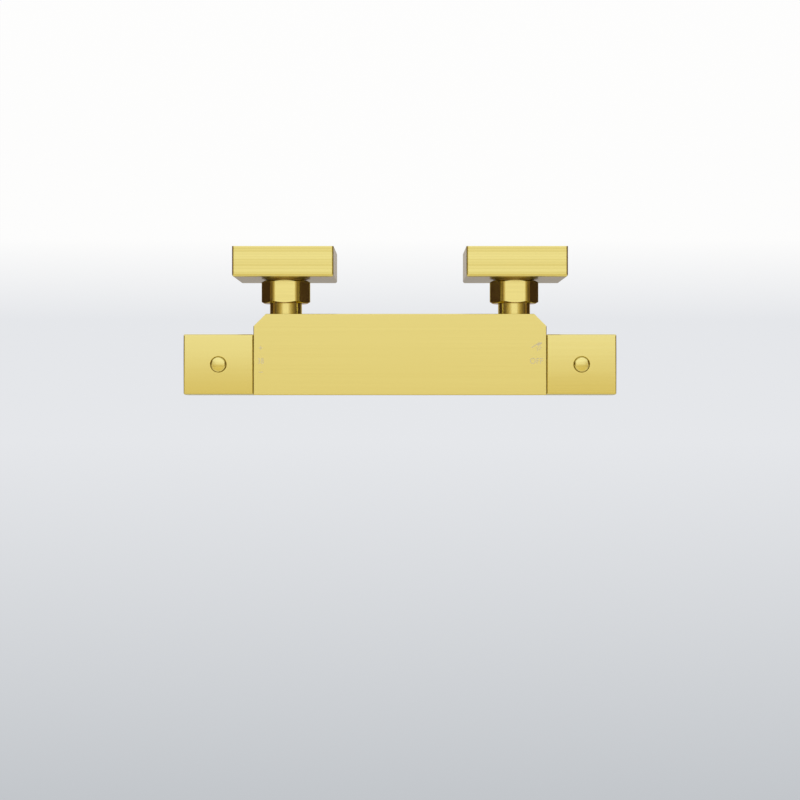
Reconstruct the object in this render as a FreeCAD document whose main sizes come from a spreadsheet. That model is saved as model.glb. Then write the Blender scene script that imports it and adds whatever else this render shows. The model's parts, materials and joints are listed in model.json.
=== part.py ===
import FreeCAD, Part
import os
import re

import Sketcher

# Exposed bar valve for a shower, fixed to a wall by two pipe fittings.
# The origin is on the wall, midway between the two inlets. +Y points into the wall, -Y to the
# user, +X to the right and +Z up. All sizes are in millimetres.

SIZES = {
    # Valve body, a cast block with the water ways bored into it
    "inlet_spacing": 150,
    "body_overhang": 19.75,
    "body_depth": 52.5,
    "body_height": 41,
    "body_corner_cut": 8,
    "body_edge": 0.5,
    "axis_from_front": 19.8,
    "passage_radius": 8,
    "inlet_way_radius": 6,
    "gallery_radius": 4,
    "gallery_cover": 7.75,
    # Clearances between neighbours
    "cut_over": 1,
    "thread_clear": 0.1,
    "running_clear": 0.05,
    "seat_clear": 0.1,
    "slide_clear": 0.2,
    # Wall fitting, which takes a plain pipe from the wall
    "flange_radius": 27,
    "flange_thick": 4,
    "screw_pitch": 41,
    "screw_hole_radius": 2.25,
    "hub_radius": 14,
    "hub_length": 6,
    "union_thread_radius": 12.9,
    "pipe_radius": 7.55,
    "pipe_depth": 17.5,
    "pipe_seal_width": 2.5,
    "pipe_seal_height": 1.7,
    "pipe_seal_squeeze": 0.35,
    "waterway_radius": 6.3,
    "lock_screw_radius": 2,
    # Rosette, the square cover over the wall fitting, and the ring that grips it
    "rosette_side": 65,
    "rosette_depth": 19.5,
    "rosette_wall": 2,
    "rosette_edge": 1.4,
    "rosette_clear": 0.3,
    "grip_ring_thick": 1.9,
    "grip_ring_height": 2.1,
    # Union nut
    "nut_gap": 0.65,
    "nut_length": 15,
    "nut_across": 29,
    "nut_corner": 5,
    "nut_chamfer_inset": 0.4,
    "nut_lip": 3.65,
    "nut_engage": 6.35,
    # Sealing washer and strainer between fitting and tail
    "washer_thick": 2,
    "washer_hole_radius": 8,
    "strainer_thick": 0.4,
    "strainer_hole_radius": 0.75,
    "strainer_inner_ring": 2.4,
    "strainer_outer_ring": 4.8,
    # Inlet tail, whose collar shows between nut and body
    "collar_radius": 10.45,
    "collar_length": 7.6,
    "tail_flange_drop": 0.4,
    "tail_thread_radius": 9.4,
    "tail_thread_length": 7.25,
    "tail_bore_radius": 8,
    "tail_seal_depth": 1.5,
    "tail_seal_height": 1,
    # Check valve inside the tail
    "check_length": 15.5,
    "check_wall": 1.7,
    "check_lip": 1.5,
    "check_seat_radius": 4.5,
    "check_web": 2,
    "check_web_hole": 1.1,
    "check_web_ring": 3.7,
    "poppet_radius": 5.1,
    "poppet_thick": 1.8,
    "poppet_stem_radius": 1.1,
    "poppet_stem_over": 1,
    "check_spring_radius": 3.2,
    "check_spring_wire": 0.35,
    "check_spring_pitch": 2.4,
    # Temperature cartridge, measured inwards from the left end of the body
    "hot_port_margin": 7.75,
    "cold_port_depth": 42.75,
    "cartridge_depth": 58,
    "cartridge_radius": 13.8,
    "cartridge_wall": 2.8,
    "window_radius": 4,
    "ring_section": 0.8,
    "ring_groove_depth": 1.5,
    "ring_groove_width": 2.2,
    "inner_ring_depth": 51,
    "hot_seat_radius": 9.3,
    "hot_seat_width": 1.2,
    "hot_seat_gap": 0.15,
    "end_cap_thick": 5.3,
    "end_cap_hole_radius": 6,
    # Bonnet that closes the cartridge, and the ring that limits the handle
    "bonnet_thread_radius": 15.9,
    "bonnet_boss_radius": 13,
    "bonnet_web": 4,
    "bonnet_recess_radius": 8,
    "boss_height": 7,
    "stop_ring_radius": 15.5,
    "stop_ring_height": 5.5,
    "stop_notch_radius": 1.2,
    # Spindles with splined ends
    "spindle_radius": 5,
    "spline_radius": 4,
    "spline_reach": 26,
    "spline_notch_radius": 0.35,
    "spindle_step_gap": 1,
    "spindle_flange_radius": 7.5,
    "spindle_flange_thick": 2,
    "spindle_screw_end": 16.5,
    "spindle_ring_depth": 3,
    "spindle_ring_section": 0.55,
    "spindle_groove_depth": 1.1,
    "spindle_groove_width": 1.5,
    # Sliding set of the temperature cartridge
    "pusher_start": 8,
    "pusher_end": 20,
    "pusher_floor": 1.5,
    "piston_radius": 1.5,
    "shuttle_start": 26.9,
    "shuttle_length": 11.1,
    "shuttle_bore_radius": 7,
    "shuttle_web_start": 30,
    "shuttle_web": 1.5,
    "element_collar": 2,
    "element_radius": 5,
    "element_end": 50,
    "return_spring_radius": 8.6,
    "return_spring_wire": 0.8,
    "return_spring_pitch": 4,
    # Flow headwork, measured inwards from the right end of the body
    "headwork_thread_radius": 12.9,
    "headwork_thread_depth": 10,
    "headwork_radius": 10.8,
    "headwork_depth": 50,
    "headwork_boss_radius": 10,
    "headwork_ring_depth": 16,
    "headwork_window_radius": 3.5,
    "flow_spindle_radius": 4.5,
    "flow_shaft_radius": 6,
    "flow_shaft_start": 12,
    "flow_shaft_end": 28,
    "disc_bore_radius": 8.6,
    "driver_thick": 3.4,
    "disc_thick": 3.4,
    "disc_port_radius": 2.6,
    "disc_port_ring": 4.6,
    "disc_seal_thick": 2.8,
    "disc_seal_hole_radius": 6.5,
    # Outlet under the body
    "outlet_station": 34,
    "nipple_thread_radius": 9.5,
    "nipple_depth": 8,
    "nipple_flange_radius": 13,
    "nipple_flange_thick": 3,
    "nipple_radius": 10.48,
    "nipple_length": 10,
    "outlet_bore_radius": 6.5,
    "outlet_seal_depth": 1.6,
    "outlet_seal_height": 1.6,
    # Handles, soft squares with crowned faces
    "handle_width": 39.8,
    "handle_length": 45.05,
    "handle_gap": 0.2,
    "handle_wall": 2.5,
    "handle_crown_radius": 425,
    "handle_corner": 1.2,
    "handle_edge": 0.9,
    "carrier_clear": 0.15,
    "carrier_set_back": 1,
    "carrier_recess": 9.5,
    # Push buttons in the handles
    "button_radius": 4.85,
    "button_hole_clear": 0.25,
    "button_hole_edge": 0.4,
    "button_proud": 1.9,
    "button_edge": 1.25,
    "button_dome_radius": 20,
    "button_flange_width": 1,
    "button_flange_thick": 1.8,
    "button_flange_drop": 0.3,
    "button_well_clear": 0.3,
    "button_well_floor": 8,
    "button_spring_radius": 4.3,
    "button_spring_wire": 0.4,
    "button_spring_pitch": 2,
    # Screws that hold the handles on their spindles
    "grub_radius": 2,
    "grub_length": 8,
    "grub_socket": 2,
    "grub_socket_depth": 2.5,
    "grub_station": 17,
    "grub_access_clear": 0.4,
}

# Places that several pieces share, worked out from the sizes above
PLACES = {
    "body_length": "inlet_spacing + 2 * body_overhang",
    "nut_start": "rosette_depth + nut_gap",
    "nut_end": "nut_start + nut_length",
    "nut_bore": "union_thread_radius + thread_clear",
    "lip_start": "nut_end - nut_lip",
    "hub_end": "flange_thick + hub_length",
    "socket_end": "pipe_depth + pipe_seal_width",
    "union_end": "nut_start + nut_engage",
    "washer_end": "union_end + washer_thick",
    "strainer_end": "washer_end + strainer_thick",
    "body_back": "nut_end + collar_length",
    "back_face": "body_depth - axis_from_front",
    "axis_out": "body_back + back_face",
    "gallery_line": "back_face - gallery_cover - gallery_radius",
    "check_start": "strainer_end + seat_clear",
    "check_end": "check_start + check_length",
    "check_bore": "tail_bore_radius - seat_clear - check_wall",
    "poppet_start": "check_start + check_lip + seat_clear",
    "poppet_back": "poppet_start + poppet_thick",
    "tail_step": "check_end + seat_clear",
    "tail_end": "body_back + tail_thread_length",
    "bonnet_depth": "body_overhang - hot_port_margin",
    "cartridge_bore": "cartridge_radius + slide_clear",
    "cartridge_start": "bonnet_depth + slide_clear",
    "cartridge_end": "cartridge_depth - slide_clear",
    "cartridge_inner": "cartridge_radius - cartridge_wall",
    "outer_ring_depth": "(cartridge_start + body_overhang - window_radius) / 2",
    "hot_seat_start": "body_overhang + window_radius + hot_seat_gap",
    "hot_seat_end": "hot_seat_start + hot_seat_width",
    "shuttle_end": "shuttle_start + shuttle_length",
    "middle_ring_depth": "(body_overhang + cold_port_depth) / 2",
    "end_cap_start": "cartridge_end - end_cap_thick",
    "headwork_bore": "headwork_radius + slide_clear",
    "driver_start": "moving_start - seat_clear - driver_thick",
    "moving_start": "fixed_start - seat_clear - disc_thick",
    "fixed_start": "headwork_end - seat_clear - disc_thick",
    "headwork_end": "headwork_depth - disc_seal_thick - 2 * seat_clear",
    "handle_end": "handle_gap + handle_length",
    "handle_middle": "handle_gap + handle_length / 2",
    "carrier_start": "handle_gap + carrier_set_back",
    "carrier_end": "handle_end - handle_wall - slide_clear",
    "carrier_offset": "handle_wall + carrier_clear",
    "flange_top": "handle_width / 2 - handle_wall - button_flange_drop",
    "flange_bottom": "flange_top - button_flange_thick",
    "button_top": "handle_width / 2 + button_proud",
    "button_face_radius": "button_radius - button_edge",
}

# Directions of a piece's own X axis, as turns of its frame
ALONG_X = FreeCAD.Rotation()
AGAINST_X = FreeCAD.Rotation(FreeCAD.Vector(0, 0, 1), 180)
OUT_OF_WALL = FreeCAD.Rotation(FreeCAD.Vector(0, 0, 1), -90)
UPWARDS = FreeCAD.Rotation(FreeCAD.Vector(0, 1, 0), -90)
DOWNWARDS = FreeCAD.Rotation(FreeCAD.Vector(0, 1, 0), 90)

FULL_TURN = 360
STRAINER_HOLES = 6
SPIDER_HOLES = 6
SPLINES = 20
DISC_PORTS = 2
STOP_NOTCHES = 12

doc = FreeCAD.newDocument("BarValve")
sheet = doc.addObject("Spreadsheet::Sheet", "Sizes")
places = doc.addObject("Spreadsheet::Sheet", "Places")
nodes = []


def bound(text):
    """Expression text with every plain name written as the sheet cell that holds it."""

    def cell(match):
        name = match.group(0)
        if name in SIZES:
            return f"Sizes.{name}"
        if name in PLACES:
            return f"Places.{name}"
        return name

    return re.sub(r"[a-z][a-z_]*", cell, text)


def value(text):
    return float(sheet.evalExpression(bound(text)))


def fill_sheets():
    for row, (alias, size) in enumerate(SIZES.items(), start=1):
        sheet.set(f"A{row}", alias)
        sheet.set(f"B{row}", str(size))
        sheet.setAlias(f"B{row}", alias)
    for row, (alias, formula) in enumerate(PLACES.items(), start=1):
        places.set(f"A{row}", alias)
        places.setAlias(f"B{row}", alias)
    for row, (alias, formula) in enumerate(PLACES.items(), start=1):
        places.set(f"B{row}", f"={bound(formula)}")
    doc.recompute()


def new_body(label, origin, turn):
    """An empty body whose own X axis points along turn, with its origin bound to the sheet."""
    body = doc.addObject("PartDesign::Body", label)
    body.Label = label
    body.Placement = FreeCAD.Placement(FreeCAD.Vector(), turn)
    for axis, text in zip("xyz", origin):
        body.setExpression(f".Placement.Base.{axis}", bound(text))
    nodes.append(body)
    return body


def new_sketch(body, name, plane, offset):
    """An empty sketch on one of the body's own planes, raised by offset along its normal."""
    sketch = body.newObject("Sketcher::SketchObject", name)
    support = next(item for item in body.Origin.OriginFeatures if item.Role == plane)
    sketch.AttachmentSupport = [(support, "")]
    sketch.MapMode = "FlatFace"
    sketch.setExpression(".AttachmentOffset.Base.z", bound(offset))
    return sketch


def bind_point(sketch, geometry, vertex, x, y):
    for kind, text in (("DistanceX", x), ("DistanceY", y)):
        number = sketch.addConstraint(Sketcher.Constraint(kind, -1, 1, geometry, vertex, value(text)))
        sketch.setExpression(f"Constraints[{number}]", bound(text))


def bind_radius(sketch, geometry, text):
    number = sketch.addConstraint(Sketcher.Constraint("Radius", geometry, value(text)))
    sketch.setExpression(f"Constraints[{number}]", bound(text))


def arc_through(start, end, radius):
    """The short arc from start to end that turns to the left, with its centre on the left."""
    chord = end - start
    left = FreeCAD.Vector(-chord.y, chord.x, 0).normalize()
    reach = (radius**2 - (chord.Length / 2) ** 2) ** 0.5
    centre = (start + end) / 2 + left * reach
    middle = centre + (start + end - centre * 2).normalize() * radius
    return Part.Arc(start, middle, end)


def outline(body, name, plane, points, offset="0", axis=None):
    """A closed outline of lines. A point with a third value starts an arc of that radius.
    axis is a pair of points for a line that the outline can be turned about."""
    sketch = new_sketch(body, name, plane, offset)
    spots = [FreeCAD.Vector(value(point[0]), value(point[1]), 0) for point in points]
    for index, point in enumerate(points):
        start, end = spots[index], spots[(index + 1) % len(spots)]
        edge = Part.LineSegment(start, end) if len(point) == 2 else arc_through(start, end, value(point[2]))
        sketch.addGeometry(edge, False)
    for index in range(len(points)):
        sketch.addConstraint(Sketcher.Constraint("Coincident", index, 2, (index + 1) % len(points), 1))
    for index, point in enumerate(points):
        bind_point(sketch, index, 1, point[0], point[1])
        if len(point) == 3:
            bind_radius(sketch, index, point[2])
    if axis:
        ends = [FreeCAD.Vector(value(x), value(y), 0) for x, y in axis]
        line = sketch.addGeometry(Part.LineSegment(*ends), True)
        bind_point(sketch, line, 1, *axis[0])
        bind_point(sketch, line, 2, *axis[1])
    return sketch


def circle(body, name, plane, centre, radius, offset="0"):
    sketch = new_sketch(body, name, plane, offset)
    middle = FreeCAD.Vector(value(centre[0]), value(centre[1]), 0)
    number = sketch.addGeometry(Part.Circle(middle, FreeCAD.Vector(0, 0, 1), value(radius)), False)
    bind_point(sketch, number, 3, *centre)
    bind_radius(sketch, number, radius)
    return sketch


def pad(body, sketch, length, backwards=False, both_ways=False):
    feature = body.newObject("PartDesign::Pad", "Pad")
    feature.Profile = sketch
    feature.setExpression("Length", bound(length))
    feature.Reversed = backwards
    feature.SideType = "Symmetric" if both_ways else "One side"
    doc.recompute()
    return feature


def turn(body, sketch, axis="H_Axis"):
    feature = body.newObject("PartDesign::Revolution", "Revolution")
    feature.Profile = sketch
    feature.ReferenceAxis = (sketch, [axis])
    feature.Angle = FULL_TURN
    doc.recompute()
    return feature


def checked_cut(body, feature, volume_before):
    doc.recompute()
    if body.Shape.Volume >= volume_before:
        raise ValueError(f"{feature.Label} of {body.Label} cuts nothing")
    return feature


def groove(body, sketch, axis="H_Axis"):
    volume = body.Shape.Volume
    feature = body.newObject("PartDesign::Groove", "Groove")
    feature.Profile = sketch
    feature.ReferenceAxis = (sketch, [axis])
    feature.Angle = FULL_TURN
    return checked_cut(body, feature, volume)


def pocket(body, sketch, length=None, forwards=False, both_ways=False):
    """A cut against the sketch's normal, or along it if forwards; with no length, right through."""
    volume = body.Shape.Volume
    feature = body.newObject("PartDesign::Pocket", "Pocket")
    feature.Profile = sketch
    feature.Reversed = forwards
    feature.SideType = "Symmetric" if both_ways else "One side"
    if length is None:
        feature.Type = "ThroughAll"
    else:
        feature.setExpression("Length", bound(length))
    return checked_cut(body, feature, volume)


def ring_of(body, feature, count):
    """Repeats a feature around the body's own X axis."""
    pattern = body.newObject("PartDesign::PolarPattern", "PolarPattern")
    pattern.Originals = [feature]
    pattern.Axis = (next(item for item in body.Origin.OriginFeatures if item.Role == "X_Axis"), [""])
    pattern.Angle = FULL_TURN
    pattern.Occurrences = count
    body.Tip = pattern
    doc.recompute()
    return pattern


def fillet(body, base, radius, chosen=None):
    """Rounds the edges of base that chosen accepts, or all of them."""
    feature = body.newObject("PartDesign::Fillet", "Fillet")
    if chosen is None:
        feature.Base = (base, [""])
        feature.UseAllEdges = True
    else:
        edges = enumerate(base.Shape.Edges, start=1)
        feature.Base = (base, [f"Edge{number}" for number, edge in edges if chosen(edge.BoundBox)])
    feature.setExpression("Radius", bound(radius))
    doc.recompute()
    return feature


def runs_along_x(box):
    return box.YLength + box.ZLength < box.XLength / 10


def turned(label, origin, direction, points):
    """A piece turned about its own X axis, from (distance along it, radius) points."""
    body = new_body(label, origin, direction)
    turn(body, outline(body, "Profile", "XY_Plane", points))
    return body


def round_ring(label, origin, direction, along, inner, section):
    """A ring of round section with the given inner radius."""
    body = new_body(label, origin, direction)
    turn(body, circle(body, "Section", "XY_Plane", (along, f"{inner} + {section}"), section))
    return body


def flat_ring(label, origin, direction, start, end, inner, outer):
    return turned(label, origin, direction, [(start, inner), (end, inner), (end, outer), (start, outer)])


def coil_spring(label, origin, direction, start, end, radius, wire, pitch):
    """A round wire spring along the body's own X axis, with its wire between start and end."""
    body = new_body(label, origin, direction)
    section = circle(body, "Wire", "XY_Plane", (f"{start} + {wire}", radius), wire)
    helix = body.newObject("PartDesign::AdditiveHelix", "Coil")
    helix.Profile = section
    helix.ReferenceAxis = (section, ["H_Axis"])
    helix.Mode = "pitch-height-angle"
    helix.setExpression("Pitch", bound(pitch))
    helix.setExpression("Height", bound(f"{end} - ({start}) - 2 * {wire}"))
    doc.recompute()
    return body


def hexagon(across):
    """Corners of a hexagon whose flats face up and down."""
    corner = f"{across} / sqrt(3)"
    flat = f"{across} / 2"
    side = f"{across} / sqrt(12)"
    return [
        (corner, "0"),
        (side, flat),
        (f"-{side}", flat),
        (f"-{corner}", "0"),
        (f"-{side}", f"-{flat}"),
        (side, f"-{flat}"),
    ]


def crowned_square(offset):
    """Corners and face arcs of the handle's section, moved inwards by offset."""
    radius = f"(handle_crown_radius - ({offset}))"
    centre = "(handle_crown_radius - handle_width / 2)"
    corner = f"((sqrt(2 * {radius}^2 - {centre}^2) - {centre}) / 2)"
    return [
        (f"-{corner}", f"-{corner}", radius),
        (corner, f"-{corner}", radius),
        (corner, corner, radius),
        (f"-{corner}", corner, radius),
    ]


def valve_body():
    body = new_body("valve_body", ("0", "-axis_out", "0"), ALONG_X)
    half = "body_length / 2"
    plan = outline(body, "Plan", "XY_Plane", [
        (f"-{half}", "-axis_from_front"),
        (half, "-axis_from_front"),
        (half, "back_face - body_corner_cut"),
        (f"{half} - body_corner_cut", "back_face"),
        (f"body_corner_cut - {half}", "back_face"),
        (f"-{half}", "back_face - body_corner_cut"),
    ])
    block = pad(body, plan, "body_height", both_ways=True)
    fillet(body, block, "body_edge")

    # Barrel for the two cartridges, stepped from both ends to the middle passage
    groove(body, outline(body, "Barrel", "XY_Plane", [
        (f"-{half} - cut_over", "0"),
        (f"{half} + cut_over", "0"),
        (f"{half} + cut_over", "headwork_thread_radius + thread_clear"),
        (f"{half} - headwork_thread_depth", "headwork_thread_radius + thread_clear"),
        (f"{half} - headwork_thread_depth", "headwork_bore"),
        (f"{half} - headwork_depth", "headwork_bore"),
        (f"{half} - headwork_depth", "passage_radius"),
        (f"cartridge_depth - {half}", "passage_radius"),
        (f"cartridge_depth - {half}", "cartridge_bore"),
        (f"bonnet_depth - {half}", "cartridge_bore"),
        (f"bonnet_depth - {half}", "bonnet_thread_radius + thread_clear"),
        (f"-{half} - cut_over", "bonnet_thread_radius + thread_clear"),
    ]))

    # Inlets in the back: hot water reaches the barrel, cold water reaches the gallery
    reaches = {
        "-inlet_spacing / 2": "cartridge_bore / 2",
        "inlet_spacing / 2": "gallery_line - gallery_radius",
    }
    for line, reach in reaches.items():
        groove(body, outline(body, "Inlet", "XY_Plane", [
            (line, reach),
            (f"{line} + inlet_way_radius", reach),
            (f"{line} + inlet_way_radius", "back_face - tail_thread_length - seat_clear"),
            (f"{line} + tail_thread_radius + thread_clear", "back_face - tail_thread_length - seat_clear"),
            (f"{line} + tail_thread_radius + thread_clear", "back_face - tail_seal_depth"),
            (f"{line} + tail_thread_radius + tail_seal_height", "back_face - tail_seal_depth"),
            (f"{line} + tail_thread_radius + tail_seal_height", "back_face + cut_over"),
            (line, "back_face + cut_over"),
        ], axis=((line, reach), (line, "back_face"))), "Axis0")

    # Gallery behind the barrel that brings the cold water over to the cartridge
    cold_port = f"cold_port_depth - {half}"
    groove(body, outline(body, "Gallery", "XY_Plane", [
        (cold_port, "gallery_line"),
        ("inlet_spacing / 2", "gallery_line"),
        ("inlet_spacing / 2", "gallery_line + gallery_radius"),
        (cold_port, "gallery_line + gallery_radius"),
    ], axis=((cold_port, "gallery_line"), ("inlet_spacing / 2", "gallery_line"))), "Axis0")
    groove(body, outline(body, "ColdPort", "XY_Plane", [
        (cold_port, "cartridge_bore / 2"),
        (f"{cold_port} + gallery_radius", "cartridge_bore / 2"),
        (f"{cold_port} + gallery_radius", "gallery_line"),
        (cold_port, "gallery_line"),
    ], axis=((cold_port, "cartridge_bore / 2"), (cold_port, "gallery_line"))), "Axis0")

    # Outlet in the underside, with a recess for its seal
    outlet = f"{half} - outlet_station"
    under = "-body_height / 2"
    groove(body, outline(body, "Outlet", "XZ_Plane", [
        (outlet, f"{under} - cut_over"),
        (f"{outlet} + nipple_thread_radius + outlet_seal_height", f"{under} - cut_over"),
        (f"{outlet} + nipple_thread_radius + outlet_seal_height", f"{under} + outlet_seal_depth"),
        (f"{outlet} + nipple_thread_radius + thread_clear", f"{under} + outlet_seal_depth"),
        (f"{outlet} + nipple_thread_radius + thread_clear", f"{under} + nipple_depth + seat_clear"),
        (f"{outlet} + outlet_bore_radius", f"{under} + nipple_depth + seat_clear"),
        (f"{outlet} + outlet_bore_radius", "-headwork_bore / 2"),
        (outlet, "-headwork_bore / 2"),
    ], axis=((outlet, under), (outlet, "-headwork_bore / 2"))), "Axis0")


def wall_fitting(side, origin):
    body = turned(f"{side}_wall_fitting", origin, OUT_OF_WALL, [
        ("0", "pipe_radius"),
        ("pipe_depth", "pipe_radius"),
        ("pipe_depth", "pipe_radius + pipe_seal_height"),
        ("socket_end", "pipe_radius + pipe_seal_height"),
        ("socket_end", "waterway_radius"),
        ("union_end", "waterway_radius"),
        ("union_end", "union_thread_radius"),
        ("hub_end", "union_thread_radius"),
        ("hub_end", "hub_radius"),
        ("flange_thick", "hub_radius"),
        ("flange_thick", "flange_radius"),
        ("0", "flange_radius"),
    ])
    for height in ("screw_pitch / 2", "-screw_pitch / 2"):
        hole = circle(body, "ScrewHole", "YZ_Plane", ("0", height), "screw_hole_radius")
        pocket(body, hole, both_ways=True)
    middle = "flange_thick + hub_length / 2"
    lock_hole = circle(body, "LockHole", "XY_Plane", (middle, "0"), "lock_screw_radius + thread_clear")
    pocket(body, lock_hole)

    flat_ring(
        f"{side}_pipe_seal", origin, OUT_OF_WALL,
        "pipe_depth + running_clear", "socket_end - running_clear",
        "pipe_radius - pipe_seal_squeeze", "pipe_radius + pipe_seal_height - running_clear",
    )
    screw = turned(f"{side}_pipe_lock_screw", (origin[0], f"-({middle})", "0"), DOWNWARDS, [
        ("pipe_radius + slide_clear", "0"),
        ("hub_radius", "0"),
        ("hub_radius", "lock_screw_radius"),
        ("pipe_radius + slide_clear", "lock_screw_radius"),
    ])
    socket = outline(screw, "Socket", "YZ_Plane", hexagon("grub_socket"), "hub_radius")
    pocket(screw, socket, "grub_socket_depth")


def rosette(side, origin):
    body = new_body(f"{side}_rosette", origin, OUT_OF_WALL)
    half = "rosette_side / 2"
    square = [(f"-{half}", f"-{half}"), (half, f"-{half}"), (half, half), (f"-{half}", half)]
    block = pad(body, outline(body, "Square", "YZ_Plane", square), "rosette_depth")
    fillet(body, block, "rosette_edge", lambda box: box.XMax > value("rosette_depth / 2"))
    inner = "(rosette_side / 2 - rosette_wall)"
    hollow = [(f"-{inner}", f"-{inner}"), (inner, f"-{inner}"), (inner, inner), (f"-{inner}", inner)]
    hollow_sketch = outline(body, "Hollow", "YZ_Plane", hollow)
    pocket(body, hollow_sketch, "rosette_depth - rosette_wall", forwards=True)
    hole = circle(body, "Hole", "YZ_Plane", ("0", "0"), "union_thread_radius + rosette_clear")
    pocket(body, hole, forwards=True)

    ring_end = "rosette_depth - rosette_wall - seat_clear"
    flat_ring(
        f"{side}_rosette_ring", origin, OUT_OF_WALL,
        f"{ring_end} - grip_ring_thick", ring_end,
        "union_thread_radius + running_clear", "union_thread_radius + grip_ring_height",
    )


def union_nut(side, origin):
    body = new_body(f"{side}_union_nut", origin, OUT_OF_WALL)
    block = pad(body, outline(body, "Hexagon", "YZ_Plane", hexagon("nut_across"), "nut_start"), "nut_length")
    fillet(body, block, "nut_corner", runs_along_x)
    inset = "(nut_across / 2 - nut_chamfer_inset)"
    outside = "nut_across * 2 / 3"
    fall = f"({outside} - {inset}) / sqrt(3)"
    for end, slope in (("nut_start", f"nut_start + {fall}"), ("nut_end", f"nut_end - {fall}")):
        groove(body, outline(body, "Chamfer", "XY_Plane", [(end, inset), (slope, outside), (end, outside)]))
    groove(body, outline(body, "Bore", "XY_Plane", [
        ("nut_start - cut_over", "0"),
        ("nut_end + cut_over", "0"),
        ("nut_end + cut_over", "collar_radius + slide_clear"),
        ("lip_start", "collar_radius + slide_clear"),
        ("lip_start", "nut_bore"),
        ("nut_start - cut_over", "nut_bore"),
    ]))


def union_joint(side, origin):
    """Washer, strainer and tail: what the union nut pulls against the wall fitting."""
    edge = "nut_bore - tail_flange_drop"
    flat_ring(
        f"{side}_sealing_washer", origin, OUT_OF_WALL, "union_end", "washer_end", "washer_hole_radius", edge
    )
    strainer = turned(f"{side}_strainer", origin, OUT_OF_WALL, [
        ("washer_end", "0"),
        ("strainer_end", "0"),
        ("strainer_end", edge),
        ("washer_end", edge),
    ])
    rings = (("strainer_inner_ring", STRAINER_HOLES), ("strainer_outer_ring", 2 * STRAINER_HOLES))
    for radius, count in rings:
        hole = circle(strainer, "Hole", "YZ_Plane", ("0", radius), "strainer_hole_radius", "strainer_end")
        ring_of(strainer, pocket(strainer, hole), count)

    turned(f"{side}_inlet_tail", origin, OUT_OF_WALL, [
        ("strainer_end", "tail_bore_radius"),
        ("tail_step", "tail_bore_radius"),
        ("tail_step", "inlet_way_radius"),
        ("tail_end", "inlet_way_radius"),
        ("tail_end", "tail_thread_radius"),
        ("body_back", "tail_thread_radius"),
        ("body_back", "collar_radius"),
        ("lip_start", "collar_radius"),
        ("lip_start", edge),
        ("strainer_end", edge),
    ])
    flat_ring(
        f"{side}_tail_seal", origin, OUT_OF_WALL,
        "body_back + running_clear", "body_back + tail_seal_depth - running_clear",
        "tail_thread_radius + running_clear", "tail_thread_radius + tail_seal_height - running_clear",
    )


def check_valve(side, origin):
    """Spring-loaded poppet in a housing that sits inside the inlet tail."""
    stem_hole = "poppet_stem_radius + slide_clear"
    web_start = "check_end - check_web"
    housing = turned(f"{side}_check_valve_housing", origin, OUT_OF_WALL, [
        ("check_start", "check_seat_radius"),
        ("check_start + check_lip", "check_seat_radius"),
        ("check_start + check_lip", "check_bore"),
        (web_start, "check_bore"),
        (web_start, stem_hole),
        ("check_end", stem_hole),
        ("check_end", "tail_bore_radius - seat_clear"),
        ("check_start", "tail_bore_radius - seat_clear"),
    ])
    hole = circle(housing, "WebHole", "YZ_Plane", ("0", "check_web_ring"), "check_web_hole", "check_end")
    ring_of(housing, pocket(housing, hole, "check_web"), SPIDER_HOLES)

    stem_end = "check_end + poppet_stem_over"
    turned(f"{side}_check_valve_poppet", origin, OUT_OF_WALL, [
        ("poppet_start", "0"),
        (stem_end, "0"),
        (stem_end, "poppet_stem_radius"),
        ("poppet_back", "poppet_stem_radius"),
        ("poppet_back", "poppet_radius"),
        ("poppet_start", "poppet_radius"),
    ])
    coil_spring(
        f"{side}_check_valve_spring", origin, OUT_OF_WALL,
        "poppet_back + running_clear", f"{web_start} - running_clear",
        "check_spring_radius", "check_spring_wire", "check_spring_pitch",
    )


def splined(body):
    """Cuts the splines into the outer end of a spindle."""
    notch = circle(
        body, "Notch", "YZ_Plane", ("0", "spline_radius"), "spline_notch_radius",
        "-boss_height - spindle_step_gap",
    )
    ring_of(body, pocket(body, notch), SPLINES)


def spindle_seal(label, origin, direction, shaft):
    """Ring in the groove that spindle_groove leaves in a shaft of the given radius."""
    round_ring(
        label, origin, direction,
        "-spindle_ring_depth", f"{shaft} - spindle_groove_depth + running_clear / 2", "spindle_ring_section",
    )


def spindle_groove(shaft):
    start = "-spindle_ring_depth - spindle_groove_width / 2"
    end = "spindle_groove_width / 2 - spindle_ring_depth"
    floor = f"{shaft} - spindle_groove_depth"
    return [(end, shaft), (end, floor), (start, floor), (start, shaft)]


def ring_groove(middle, surface):
    """Groove for a sealing ring around a cartridge, in outline order towards the outer end."""
    start = f"{middle} - ring_groove_width / 2"
    end = f"{middle} + ring_groove_width / 2"
    floor = f"{surface} - ring_groove_depth"
    return [(end, surface), (end, floor), (start, floor), (start, surface)]


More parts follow.
